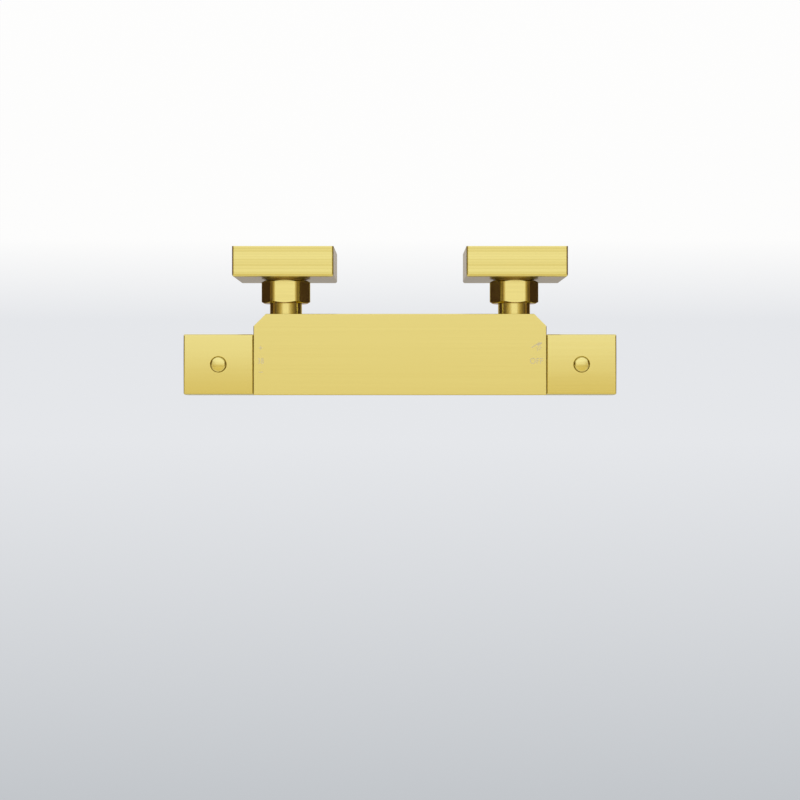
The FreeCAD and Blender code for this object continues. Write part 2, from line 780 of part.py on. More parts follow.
def temperature_cartridge(origin):
    """Cartridge that mixes hot and cold water, with the bonnet that holds it."""
    hole = "spindle_radius + running_clear"
    thread_end = "bonnet_depth - seat_clear"
    turned("temperature_bonnet", origin, ALONG_X, [
        ("-boss_height", hole),
        ("bonnet_web", hole),
        ("bonnet_web", "bonnet_recess_radius"),
        (thread_end, "bonnet_recess_radius"),
        (thread_end, "bonnet_thread_radius"),
        ("0", "bonnet_thread_radius"),
        ("0", "bonnet_boss_radius"),
        ("-boss_height", "bonnet_boss_radius"),
    ])

    stop_start = "-spindle_step_gap - stop_ring_height"
    stop = flat_ring(
        "stop_ring", origin, ALONG_X, stop_start, "-spindle_step_gap",
        "bonnet_boss_radius + running_clear", "stop_ring_radius",
    )
    rim = ("0", "stop_ring_radius")
    notch = circle(stop, "Notch", "YZ_Plane", rim, "stop_notch_radius", "-spindle_step_gap")
    ring_of(stop, pocket(stop, notch, "stop_ring_height / 2"), STOP_NOTCHES)

    flange_start = "bonnet_web + seat_clear"
    flange_end = f"{flange_start} + spindle_flange_thick"
    spindle = turned("temperature_spindle", origin, ALONG_X, [
        ("-spline_reach", "0"),
        ("spindle_screw_end", "0"),
        ("spindle_screw_end", "spline_radius"),
        (flange_end, "spline_radius"),
        (flange_end, "spindle_flange_radius"),
        (flange_start, "spindle_flange_radius"),
        (flange_start, "spindle_radius"),
        *spindle_groove("spindle_radius"),
        ("-boss_height - spindle_step_gap", "spindle_radius"),
        ("-boss_height - spindle_step_gap", "spline_radius"),
        ("-spline_reach", "spline_radius"),
    ])
    splined(spindle)
    spindle_seal("temperature_spindle_seal", origin, ALONG_X, "spindle_radius")

    sleeve = turned("cartridge_sleeve", origin, ALONG_X, [
        ("cartridge_start", "cartridge_inner"),
        ("hot_seat_start", "cartridge_inner"),
        ("hot_seat_start", "hot_seat_radius"),
        ("hot_seat_end", "hot_seat_radius"),
        ("hot_seat_end", "cartridge_inner"),
        ("cartridge_end", "cartridge_inner"),
        ("cartridge_end", "cartridge_radius"),
        *ring_groove("inner_ring_depth", "cartridge_radius"),
        *ring_groove("middle_ring_depth", "cartridge_radius"),
        *ring_groove("outer_ring_depth", "cartridge_radius"),
        ("cartridge_start", "cartridge_radius"),
    ])
    for depth in ("body_overhang", "cold_port_depth"):
        for plane in ("XY_Plane", "XZ_Plane"):
            pocket(sleeve, circle(sleeve, "Window", plane, (depth, "0"), "window_radius"), both_ways=True)
    flat_ring(
        "cartridge_end_cap", origin, ALONG_X, "end_cap_start", "cartridge_end",
        "end_cap_hole_radius", "cartridge_inner - thread_clear",
    )

    rings = []
    for depth in ("outer_ring_depth", "middle_ring_depth", "inner_ring_depth"):
        inner = "cartridge_radius - ring_groove_depth + running_clear"
        rings.append(round_ring("cartridge_ring", origin, ALONG_X, depth, inner, "ring_section"))
    group_as("cartridge_seals", rings)


def group_as(label, members):
    """Makes separate like solids one node."""
    for member in members:
        nodes.remove(member)
    group = doc.addObject("Part::Compound", label)
    group.Label = label
    group.Links = members
    nodes.append(group)
    doc.recompute()


def mixing_set(origin):
    """Pieces that slide along the cartridge as the temperature handle turns."""
    guide = "bonnet_recess_radius - slide_clear"
    floor_start = "pusher_end - pusher_floor"
    turned("pusher", origin, ALONG_X, [
        (floor_start, "0"),
        ("pusher_end", "0"),
        ("pusher_end", guide),
        ("pusher_start", guide),
        ("pusher_start", "spline_radius + thread_clear"),
        (floor_start, "spline_radius + thread_clear"),
    ])
    collar_start = "shuttle_web_start - element_collar"
    collar = "shuttle_bore_radius - slide_clear"
    turned("wax_element", origin, ALONG_X, [
        ("pusher_end", "0"),
        ("element_end", "0"),
        ("element_end", "element_radius"),
        ("shuttle_web_start", "element_radius"),
        ("shuttle_web_start", collar),
        (collar_start, collar),
        (collar_start, "piston_radius"),
        ("pusher_end", "piston_radius"),
    ])
    web_end = "shuttle_web_start + shuttle_web"
    web_hole = "element_radius + slide_clear"
    turned("shuttle", origin, ALONG_X, [
        ("shuttle_start", "shuttle_bore_radius"),
        ("shuttle_web_start", "shuttle_bore_radius"),
        ("shuttle_web_start", web_hole),
        (web_end, web_hole),
        (web_end, "shuttle_bore_radius"),
        ("shuttle_end", "shuttle_bore_radius"),
        ("shuttle_end", "cartridge_inner - slide_clear"),
        ("shuttle_start", "cartridge_inner - slide_clear"),
    ])
    coil_spring(
        "return_spring", origin, ALONG_X,
        "shuttle_end + running_clear", "end_cap_start - running_clear",
        "return_spring_radius", "return_spring_wire", "return_spring_pitch",
    )


def flow_headwork(origin):
    """Quarter-turn headwork with two ceramic discs that opens and shuts the flow."""
    hole = "flow_spindle_radius + running_clear"
    thread_end = "headwork_thread_depth - seat_clear"
    shaft = "flow_shaft_radius + slide_clear"
    housing = turned("headwork_body", origin, AGAINST_X, [
        ("-boss_height", hole),
        ("flow_shaft_start", hole),
        ("flow_shaft_start", shaft),
        ("flow_shaft_end", shaft),
        ("flow_shaft_end", "disc_bore_radius"),
        ("headwork_end", "disc_bore_radius"),
        ("headwork_end", "headwork_radius"),
        *ring_groove("headwork_ring_depth", "headwork_radius"),
        (thread_end, "headwork_radius"),
        (thread_end, "headwork_thread_radius"),
        ("0", "headwork_thread_radius"),
        ("0", "headwork_boss_radius"),
        ("-boss_height", "headwork_boss_radius"),
    ])
    for plane in ("XY_Plane", "XZ_Plane"):
        window = circle(housing, "Window", plane, ("outlet_station", "0"), "headwork_window_radius")
        pocket(housing, window, both_ways=True)
    round_ring(
        "headwork_seal", origin, AGAINST_X, "headwork_ring_depth",
        "headwork_radius - ring_groove_depth + running_clear", "ring_section",
    )

    shaft_start = "flow_shaft_start + seat_clear"
    shaft_end = "flow_shaft_end - spindle_step_gap"
    driver = "disc_bore_radius - slide_clear"
    driver_end = "driver_start + driver_thick"
    spindle = turned("flow_spindle", origin, AGAINST_X, [
        ("-spline_reach", "0"),
        (driver_end, "0"),
        (driver_end, driver),
        ("driver_start", driver),
        ("driver_start", "flow_spindle_radius"),
        (shaft_end, "flow_spindle_radius"),
        (shaft_end, "flow_shaft_radius"),
        (shaft_start, "flow_shaft_radius"),
        (shaft_start, "flow_spindle_radius"),
        *spindle_groove("flow_spindle_radius"),
        ("-boss_height - spindle_step_gap", "flow_spindle_radius"),
        ("-boss_height - spindle_step_gap", "spline_radius"),
        ("-spline_reach", "spline_radius"),
    ])
    splined(spindle)
    spindle_seal("flow_spindle_seal", origin, AGAINST_X, "flow_spindle_radius")

    # The ports of the two discs stand across each other while the flow is shut
    discs = (
        ("moving_disc", "moving_start", ("0", "disc_port_ring")),
        ("fixed_disc", "fixed_start", ("disc_port_ring", "0")),
    )
    for label, start, port in discs:
        end = f"{start} + disc_thick"
        disc = turned(label, origin, AGAINST_X, [(start, "0"), (end, "0"), (end, driver), (start, driver)])
        hole = circle(disc, "Port", "YZ_Plane", port, "disc_port_radius", end)
        ring_of(disc, pocket(disc, hole), DISC_PORTS)
    flat_ring(
        "disc_seal", origin, AGAINST_X,
        "headwork_end + seat_clear", "headwork_end + seat_clear + disc_seal_thick",
        "disc_seal_hole_radius", "headwork_bore - slide_clear",
    )


def outlet():
    origin = ("body_length / 2 - outlet_station", "-axis_out", "-body_height / 2")
    thread_end = "nipple_flange_thick + nipple_length"
    turned("outlet_nipple", origin, DOWNWARDS, [
        ("-nipple_depth", "outlet_bore_radius"),
        (thread_end, "outlet_bore_radius"),
        (thread_end, "nipple_radius"),
        ("nipple_flange_thick", "nipple_radius"),
        ("nipple_flange_thick", "nipple_flange_radius"),
        ("0", "nipple_flange_radius"),
        ("0", "nipple_thread_radius"),
        ("-nipple_depth", "nipple_thread_radius"),
    ])
    flat_ring(
        "outlet_seal", origin, DOWNWARDS,
        "running_clear - outlet_seal_depth", "-running_clear",
        "nipple_thread_radius + running_clear", "nipple_thread_radius + outlet_seal_height - running_clear",
    )


def is_button_rim(box):
    """True for the edge where the button hole meets the top of the handle."""
    hole = value("button_radius + button_hole_clear")
    return box.ZMin > value("handle_width / 2 - handle_wall / 2") and box.XLength < 3 * hole


def handle(name, origin, direction):
    """Hollow soft-square shell on a carrier that grips the spindle."""
    shell = new_body(f"{name}_handle", origin, direction)
    section = outline(shell, "Section", "YZ_Plane", crowned_square("0"), "-handle_gap")
    block = pad(shell, section, "handle_length", backwards=True)
    long_edges = fillet(shell, block, "handle_corner", runs_along_x)
    fillet(shell, long_edges, "handle_edge", lambda box: box.XLength < value("handle_edge") / 2)
    cavity = outline(shell, "Cavity", "YZ_Plane", crowned_square("handle_wall"), "-handle_gap")
    pocket(shell, cavity, "handle_length - handle_wall")
    button_hole = circle(
        shell, "ButtonHole", "XY_Plane", ("-handle_middle", "0"), "button_radius + button_hole_clear"
    )
    hole = pocket(shell, button_hole, forwards=True)
    fillet(shell, hole, "button_hole_edge", is_button_rim)
    screw_place = ("-handle_gap - grub_station", "0")
    access = circle(shell, "ScrewAccess", "XY_Plane", screw_place, "grub_radius + grub_access_clear")
    pocket(shell, access)

    carrier = new_body(f"{name}_carrier", origin, direction)
    section = outline(carrier, "Section", "YZ_Plane", crowned_square("carrier_offset"), "-carrier_start")
    pad(carrier, section, "carrier_end - carrier_start", backwards=True)
    socket = "spline_radius + running_clear"
    groove(carrier, outline(carrier, "Socket", "XY_Plane", [
        ("-spline_reach - spindle_step_gap", "0"),
        ("cut_over - carrier_start", "0"),
        ("cut_over - carrier_start", "stop_ring_radius + rosette_clear"),
        ("-carrier_recess", "stop_ring_radius + rosette_clear"),
        ("-carrier_recess", socket),
        ("-spline_reach - spindle_step_gap", socket),
    ]))
    well_radius = "button_radius + button_flange_width + button_well_clear"
    well = circle(carrier, "Well", "XY_Plane", ("-handle_middle", "0"), well_radius, "button_well_floor")
    pocket(carrier, well, forwards=True)
    pocket(carrier, circle(carrier, "ScrewHole", "XY_Plane", screw_place, "grub_radius + thread_clear"))


def handle_screw(name, origin_x):
    tip = "spline_radius + seat_clear"
    end = f"{tip} + grub_length"
    screw = turned(f"{name}_grub_screw", (origin_x, "-axis_out", "0"), DOWNWARDS, [
        (tip, "0"),
        (end, "0"),
        (end, "grub_radius"),
        (tip, "grub_radius"),
    ])
    pocket(screw, outline(screw, "Socket", "YZ_Plane", hexagon("grub_socket"), end), "grub_socket_depth")


def push_button(name, origin_x):
    origin = (origin_x, "-axis_out", "0")
    flange = "button_radius + button_flange_width"
    face = "button_top - button_dome_radius + sqrt(button_dome_radius^2 - button_face_radius^2)"
    turned(f"{name}_button", origin, UPWARDS, [
        ("flange_bottom", "0"),
        ("button_top", "0", "button_dome_radius"),
        (face, "button_face_radius", "button_edge"),
        (f"{face} - button_edge", "button_radius"),
        ("flange_top", "button_radius"),
        ("flange_top", flange),
        ("flange_bottom", flange),
    ])
    coil_spring(
        f"{name}_button_spring", origin, UPWARDS,
        "button_well_floor + running_clear", "flange_bottom - running_clear",
        "button_spring_radius", "button_spring_wire", "button_spring_pitch",
    )


def check_document():
    """Stops if any object failed or any piece has no sound solid."""
    for item in doc.Objects:
        if "Invalid" in item.State or "Error" in item.State:
            raise ValueError(f"{item.Label} failed: {item.State}")
    for node in nodes:
        if node.Shape.isNull() or not node.Shape.isValid() or not node.Shape.Solids:
            raise ValueError(f"{node.Label} has no sound solid")


def write_parts():
    os.makedirs("parts", exist_ok=True)
    for node in nodes:
        node.Shape.exportStep(f"parts/{node.Label}.step")


fill_sheets()
valve_body()
outlet()

for side, line in (("hot", "-inlet_spacing / 2"), ("cold", "inlet_spacing / 2")):
    inlet = (line, "0", "0")
    wall_fitting(side, inlet)
    rosette(side, inlet)
    union_nut(side, inlet)
    union_joint(side, inlet)
    check_valve(side, inlet)

left_end = ("-body_length / 2", "-axis_out", "0")
right_end = ("body_length / 2", "-axis_out", "0")
temperature_cartridge(left_end)
mixing_set(left_end)
flow_headwork(right_end)

handle("temperature", left_end, ALONG_X)
handle("flow", right_end, AGAINST_X)
handle_screw("temperature", "-body_length / 2 - handle_gap - grub_station")
handle_screw("flow", "body_length / 2 + handle_gap + grub_station")
push_button("safety", "-body_length / 2 - handle_middle")
push_button("eco", "body_length / 2 + handle_middle")

doc.recompute()
check_document()
write_parts()
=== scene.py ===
import json
import math

import bmesh
import bpy
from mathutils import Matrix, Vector


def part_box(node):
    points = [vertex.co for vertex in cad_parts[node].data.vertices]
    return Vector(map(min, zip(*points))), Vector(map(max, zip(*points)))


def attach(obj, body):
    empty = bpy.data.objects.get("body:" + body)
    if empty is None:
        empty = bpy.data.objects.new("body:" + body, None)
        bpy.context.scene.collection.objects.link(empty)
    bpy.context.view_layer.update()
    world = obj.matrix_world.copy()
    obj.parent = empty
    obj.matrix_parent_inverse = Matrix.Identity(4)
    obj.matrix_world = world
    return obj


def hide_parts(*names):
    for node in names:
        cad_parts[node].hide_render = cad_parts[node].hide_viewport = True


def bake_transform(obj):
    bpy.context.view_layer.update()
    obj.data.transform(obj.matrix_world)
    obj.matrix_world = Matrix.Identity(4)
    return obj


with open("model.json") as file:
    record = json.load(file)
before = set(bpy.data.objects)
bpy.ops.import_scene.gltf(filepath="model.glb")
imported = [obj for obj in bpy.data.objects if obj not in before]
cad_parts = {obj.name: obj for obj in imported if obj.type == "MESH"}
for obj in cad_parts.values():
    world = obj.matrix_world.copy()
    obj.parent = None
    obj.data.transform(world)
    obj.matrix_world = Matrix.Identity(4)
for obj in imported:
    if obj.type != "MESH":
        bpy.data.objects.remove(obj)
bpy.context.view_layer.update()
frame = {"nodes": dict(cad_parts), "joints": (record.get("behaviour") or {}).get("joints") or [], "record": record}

MM = 0.001

# Places taken from the frame
body_low, body_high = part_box("valve_body")
nipple_low, nipple_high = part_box("outlet_nipple")
mounts = {mount["name"]: mount for mount in frame["record"]["mounts"]}
slot_of = {part["node"]: part["material_slot"] for part in frame["record"]["subparts"]}

# Camera: straight above the bar, looking down with the wall at the top of the picture
CAMERA_HEIGHT = 1149 * MM
CAMERA_Y = -98.45 * MM
LENS = 78.6
SENSOR = 36

# Stage: a round floor, and tall cards at both sides, each with a warm band level with the part
FLOOR_Z = -1000 * MM
FLOOR_RADIUS = 8
FLOOR_SEGMENTS = 96
FLOOR_GLOW = 0.95
FLOOR_FRONT = -600 * MM
FLOOR_BACK = 400 * MM
FLAG_X = 750 * MM
FLAG_TOP = 2600 * MM
FLAG_NEAR = -360 * MM
FLAG_SPLIT = -70 * MM
FLAG_FAR = 290 * MM
FLAG_WINDOW = (-100 * MM, 20 * MM)
FLAG_WINDOW_EDGE = 15 * MM
FLAG_GOLD_Z = 1100 * MM
FLAG_FADE = ((500 * MM, 0.95), (1100 * MM, 0.7), (1800 * MM, 0.3), (FLAG_TOP, 0))
FRONT_FLAG_COVER = {"window_cover": 0.25, "upper_cover": 0.45}
BACK_FLAG_COVER = {"window_cover": 1, "upper_cover": 1}

# Sky: where it turns white, and where the warm patch fades in, as parts of a direction
SKY_TOP_AT = 0.8
WARM_FROM_Y, WARM_TO_Y = 0.145, -0.16
WARM_FROM_Z, WARM_TO_Z = 0.3, 0.6

# Printed marks on top of the body
MARK_THICK = 0.02 * MM
LEFT_MARK_X = -90 * MM
PLUS_Y = -64.8 * MM
NUMBER_Y = -73.2 * MM
MINUS_Y = -80.4 * MM
SIGN_SIZE = 2.6 * MM
SIGN_STROKE = 0.45 * MM
NUMBER_SIZE = (3.9 * MM, 3.5 * MM)
OFF_X = 88.2 * MM
OFF_SIZE = (8.4 * MM, 3.8 * MM)
LETTER_DEPTH = 0.05
WELD_DISTANCE = 0.001 * MM

# Shower sign, as strokes from its centre in millimetres: start, end and width
SHOWER_CENTRE = Vector((88.5 * MM, -63.5 * MM))
SHOWER_HANDLE = ((-3.3, -1), (1.4, 2.1), 0.6)
SHOWER_HEAD = ((0.7, 0.6), (2.7, 1.9), 1.2)
DROPS = 3
DROP_FIRST = Vector((-0.1, -1))
DROP_STEP = Vector((1.1, 0.6))
DROP_FALL = Vector((0.6, -2.2))
DROP_WIDTH = 0.35

# Thread of the outlet
THREAD_PITCH = 1.814 * MM
THREAD_DEPTH = 1.16 * MM
THREAD_ROOT = 1.55
THREAD_FLANK = 4
THREAD_RELIEF = 0.8 * MM
THREAD_RUN_OUT = 0.6 * THREAD_PITCH
THREAD_ROWS_PER_TURN = 8
THREAD_SEGMENTS = 96
NIPPLE_BORE = 6.5 * MM
NIPPLE_SPIGOT = 9.5 * MM
NIPPLE_EDGE = 0.4 * MM

# Finishes: streaks per metre across and along the brushing, roughness and strength of the relief
SATIN_FINISH = {"across": 1400, "along": 4, "roughness": 0.18, "bump": 0.02}
LINED_FINISH = {"across": 730, "along": 0.3, "roughness": 0.25, "bump": 0.04}
FINE_FINISH = {"across": 900, "along": 4, "roughness": 0.16, "bump": 0.03}
STREAK_DARK_AT, STREAK_LIGHT_AT = 0.35, 0.65
STREAK_SHINE = 0.03
STREAK_RELIEF = 0.01 * MM
END_FACE_LIMIT = 0.75
MOTTLE_GRAIN = 200
MOTTLE_SHINE = 0.04
PRINT_ROUGHNESS = 0.5


def srgb(red, green, blue):
    """Linear colour, with full alpha, of a colour written in 0 to 255 screen values."""

    def linear(level):
        level = level / 255
        return level / 12.92 if level <= 0.04045 else ((level + 0.055) / 1.055) ** 2.4

    return (linear(red), linear(green), linear(blue), 1)


SATIN_LIGHT = srgb(239, 225, 146)
SATIN_DARK = srgb(237, 222, 142)
LINED_LIGHT = srgb(246, 234, 156)
LINED_DARK = srgb(231, 215, 132)
FINE_LIGHT = srgb(244, 230, 150)
FINE_DARK = srgb(240, 225, 145)
SATIN_EDGE = (0.6, 0.52, 0.4, 1)
LINED_EDGE = (0.45, 0.41, 0.48, 1)
FINE_EDGE = (0.35, 0.22, 0.1, 1)
RAW_BRASS = srgb(205, 178, 112)
COPPER = srgb(196, 128, 92)
STEEL = srgb(176, 177, 180)
RUBBER = srgb(28, 28, 28)
PLASTIC = srgb(226, 224, 217)
CERAMIC = srgb(240, 238, 230)
PRINT = srgb(230, 221, 190)
FLOOR_GREY = srgb(195, 199, 204)
FLOOR_PALE = srgb(231, 233, 237)
FLOOR_WHITE = (1, 1, 1, 1)
FLOOR_SHADES = ((0, FLOOR_GREY), (0.45, FLOOR_PALE), (0.6, FLOOR_PALE), (0.7, FLOOR_WHITE))
FLAG_BROWN = (0.09, 0.054, 0.04, 1)
FLAG_WARM = (0.42, 0.26, 0.06, 1)
FLAG_GOLD = (0.6, 0.42, 0.03, 1)
SKY_TOP = (1, 1, 1, 1)
SKY_HORIZON = (0.74, 0.745, 0.76, 1)
WARM_PATCH = (0.73, 0.61, 0.28, 1)

# Finish of the pieces inside: colour, roughness and how metallic it is
INNER_FINISHES = {
    "raw_brass": (RAW_BRASS, 0.3, 1),
    "copper": (COPPER, 0.35, 1),
    "spring_steel": (STEEL, 0.3, 1),
    "rubber": (RUBBER, 0.55, 0),
    "plastic": (PLASTIC, 0.45, 0),
    "ceramic": (CERAMIC, 0.2, 0),
}


def add_node(tree, kind, **settings):
    node = tree.nodes.new(kind)
    for name, setting in settings.items():
        setattr(node, name, setting)
    return node


def new_material(name):
    material = bpy.data.materials.new(name)
    material.use_nodes = True
    return material, material.node_tree, material.node_tree.nodes["Principled BSDF"]


def set_stops(node, stops):
    """Fills a colour ramp with (position, colour) stops."""
    elements = node.color_ramp.elements
    while len(elements) < len(stops):
        elements.new(0.5)
    for element, (position, colour) in zip(elements, stops):
        element.position = position
        element.color = colour


def noise_along(tree, coordinates, scale):
    """Noise drawn out into streaks by a different scale on each axis."""
    mapping = add_node(tree, "ShaderNodeMapping")
    mapping.inputs["Scale"].default_value = scale
    noise = add_node(tree, "ShaderNodeTexNoise")
    noise.inputs["Scale"].default_value = 1
    noise.inputs["Detail"].default_value = 1
    noise.inputs["Roughness"].default_value = 0.5
    tree.links.new(coordinates, mapping.inputs["Vector"])
    tree.links.new(mapping.outputs["Vector"], noise.inputs["Vector"])
    return noise.outputs["Fac"]


def brushed(name, light, dark, edge, across, along, roughness, bump):
    """Metal brushed along X, or upwards on faces that look along X, with a tint at grazing angles."""
    material, tree, shader = new_material(name)
    place = add_node(tree, "ShaderNodeTexCoord")
    along_x = noise_along(tree, place.outputs["Object"], (along, across, across))
    along_z = noise_along(tree, place.outputs["Object"], (across, across, along))

    facing = add_node(tree, "ShaderNodeSeparateXYZ")
    tree.links.new(place.outputs["Normal"], facing.inputs["Vector"])
    size = add_node(tree, "ShaderNodeMath", operation="ABSOLUTE")
    tree.links.new(facing.outputs["X"], size.inputs[0])
    endways = add_node(tree, "ShaderNodeMath", operation="GREATER_THAN")
    endways.inputs[1].default_value = END_FACE_LIMIT
    tree.links.new(size.outputs["Value"], endways.inputs[0])
    streaks = add_node(tree, "ShaderNodeMix", data_type="FLOAT")
    tree.links.new(endways.outputs["Value"], streaks.inputs["Factor"])
    tree.links.new(along_x, streaks.inputs["A"])
    tree.links.new(along_z, streaks.inputs["B"])

    tone = add_node(tree, "ShaderNodeValToRGB")
    set_stops(tone, ((STREAK_DARK_AT, dark), (STREAK_LIGHT_AT, light)))
    tree.links.new(streaks.outputs["Result"], tone.inputs["Fac"])
    tree.links.new(tone.outputs["Color"], shader.inputs["Base Color"])

    shine = add_node(tree, "ShaderNodeMapRange")
    shine.inputs["To Min"].default_value = roughness - STREAK_SHINE
    shine.inputs["To Max"].default_value = roughness + STREAK_SHINE
    tree.links.new(streaks.outputs["Result"], shine.inputs["Value"])
    tree.links.new(shine.outputs["Result"], shader.inputs["Roughness"])

    relief = add_node(tree, "ShaderNodeBump")
    relief.inputs["Strength"].default_value = bump
    relief.inputs["Distance"].default_value = STREAK_RELIEF
    tree.links.new(streaks.outputs["Result"], relief.inputs["Height"])
    tree.links.new(relief.outputs["Normal"], shader.inputs["Normal"])
    shader.inputs["Metallic"].default_value = 1
    shader.inputs["Specular Tint"].default_value = edge
    return material


def plain(name, colour, roughness, metallic=0):
    """Even material with a faint mottle in its shine."""
    material, tree, shader = new_material(name)
    place = add_node(tree, "ShaderNodeTexCoord")
    mottle = noise_along(tree, place.outputs["Object"], (MOTTLE_GRAIN, MOTTLE_GRAIN, MOTTLE_GRAIN))
    shine = add_node(tree, "ShaderNodeMapRange")
    shine.inputs["To Min"].default_value = roughness - MOTTLE_SHINE
    shine.inputs["To Max"].default_value = roughness + MOTTLE_SHINE
    tree.links.new(mottle, shine.inputs["Value"])
    tree.links.new(shine.outputs["Result"], shader.inputs["Roughness"])
    shader.inputs["Base Color"].default_value = colour
    shader.inputs["Metallic"].default_value = metallic
    return material


def dress_nodes():
    """Gives every solid the material of its slot, with coarser lines on the covers and buttons."""
    satin = brushed("brushed_gold", SATIN_LIGHT, SATIN_DARK, SATIN_EDGE, **SATIN_FINISH)
    lined = brushed("lined_gold", LINED_LIGHT, LINED_DARK, LINED_EDGE, **LINED_FINISH)
    fine = brushed("fine_gold", FINE_LIGHT, FINE_DARK, FINE_EDGE, **FINE_FINISH)
    by_slot = {name: plain(name, *finish) for name, finish in INNER_FINISHES.items()}
    by_slot["brushed_gold"] = satin
    own = {"rosette": lined, "union_nut": fine, "inlet_tail": fine, "button": lined}
    for name, node in frame["nodes"].items():
        material = by_slot[slot_of[name]]
        for ending, choice in own.items():
            if name.endswith(ending):
                material = choice
        node.data.materials.clear()
        node.data.materials.append(material)
    return by_slot


def add_piece(name, mesh, material, body):
    piece = bpy.data.objects.new(name, mesh)
    bpy.context.scene.collection.objects.link(piece)
    mesh.materials.clear()
    mesh.materials.append(material)
    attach(piece, body)
    return piece


def raised(name, outlines, base_z):
    """Thin plates of the given flat outlines, standing on base_z."""
    mesh = bpy.data.meshes.new(name)
    build = bmesh.new()
    for points in outlines:
        lower = [build.verts.new((x, y, base_z)) for x, y in points]
        upper = [build.verts.new((x, y, base_z + MARK_THICK)) for x, y in points]
        build.faces.new(list(reversed(lower)))
        build.faces.new(upper)
        for index in range(len(points)):
            after = (index + 1) % len(points)
            build.faces.new((lower[index], lower[after], upper[after], upper[index]))
    bmesh.ops.recalc_face_normals(build, faces=build.faces)
    build.to_mesh(mesh)
    build.free()
    return mesh


def bar(centre, size):
    (x, y), (width, height) = centre, size
    return [
        (x - width / 2, y - height / 2),
        (x + width / 2, y - height / 2),
        (x + width / 2, y + height / 2),
        (x - width / 2, y + height / 2),
    ]


def plus(centre, size, stroke):
    x, y = centre
    far, near = size / 2, stroke / 2
    quarter = [(far, -near), (far, near), (near, near)]
    points = []
    for turn in range(4):
        cosine, sine = round(math.cos(turn * math.pi / 2)), round(math.sin(turn * math.pi / 2))
        points += [(x + px * cosine - py * sine, y + px * sine + py * cosine) for px, py in quarter]
    return points


def capsule(start, end, width, segments=8):
    """Outline of a straight stroke with round ends."""
    along = (Vector(end) - Vector(start)).normalized()
    heading = math.atan2(along.y, along.x)
    points = []
    radius = width / 2
    for centre, first in ((end, heading - math.pi / 2), (start, heading + math.pi / 2)):
        for step in range(segments + 1):
            angle = first + math.pi * step / segments
            points.append((centre[0] + math.cos(angle) * radius, centre[1] + math.sin(angle) * radius))
    return points


def lettering(name, words, centre, size, base_z):
    """Raised letters fitted into a box of the given centre and size."""
    curve = bpy.data.curves.new(name, "FONT")
    curve.body = words
    curve.extrude = LETTER_DEPTH
    writer = bpy.data.objects.new(name, curve)
    bpy.context.scene.collection.objects.link(writer)
    bpy.context.view_layer.update()
    mesh = bpy.data.meshes.new_from_object(writer.evaluated_get(bpy.context.evaluated_depsgraph_get()))
    bpy.data.objects.remove(writer)
    bpy.data.curves.remove(curve)
    low = Vector([min(vertex.co[axis] for vertex in mesh.vertices) for axis in range(3)])
    high = Vector([max(vertex.co[axis] for vertex in mesh.vertices) for axis in range(3)])
    target = (size[0], size[1], MARK_THICK)
    corner = (centre[0] - size[0] / 2, centre[1] - size[1] / 2, base_z)
    for vertex in mesh.vertices:
        vertex.co = [
            corner[axis] + (vertex.co[axis] - low[axis]) / (high[axis] - low[axis]) * target[axis]
            for axis in range(3)
        ]
    build = bmesh.new()
    build.from_mesh(mesh)
    bmesh.ops.remove_doubles(build, verts=build.verts, dist=WELD_DISTANCE)
    bmesh.ops.recalc_face_normals(build, faces=build.faces)
    build.to_mesh(mesh)
    build.free()
    mesh.name = name
    return mesh


def shower_sign(base_z):
    """Hand shower with a slanting handle, a round head and drops of water."""
    strokes = [SHOWER_HANDLE, SHOWER_HEAD]
    for step in range(DROPS):
        top = DROP_FIRST + step * DROP_STEP
        strokes.append((top, top + DROP_FALL, DROP_WIDTH))
    outlines = [
        capsule(SHOWER_CENTRE + Vector(start) * MM, SHOWER_CENTRE + Vector(end) * MM, width * MM)
        for start, end, width in strokes
    ]
    return raised("mark_shower", outlines, base_z)


def print_marks():
    material = plain("print", PRINT, PRINT_ROUGHNESS)
    top = body_high.z
    number = lettering("mark_number", "38", (LEFT_MARK_X, NUMBER_Y), NUMBER_SIZE, top)
    off = lettering("mark_off", "OFF", (OFF_X, NUMBER_Y), OFF_SIZE, top)
    signs = [
        raised("mark_plus", [plus((LEFT_MARK_X, PLUS_Y), SIGN_SIZE, SIGN_STROKE)], top),
        raised("mark_minus", [bar((LEFT_MARK_X, MINUS_Y), (SIGN_SIZE, SIGN_STROKE))], top),
        shower_sign(top),
    ]
    for mesh in (number, off, *signs):
        add_piece(mesh.name, mesh, material, "valve")


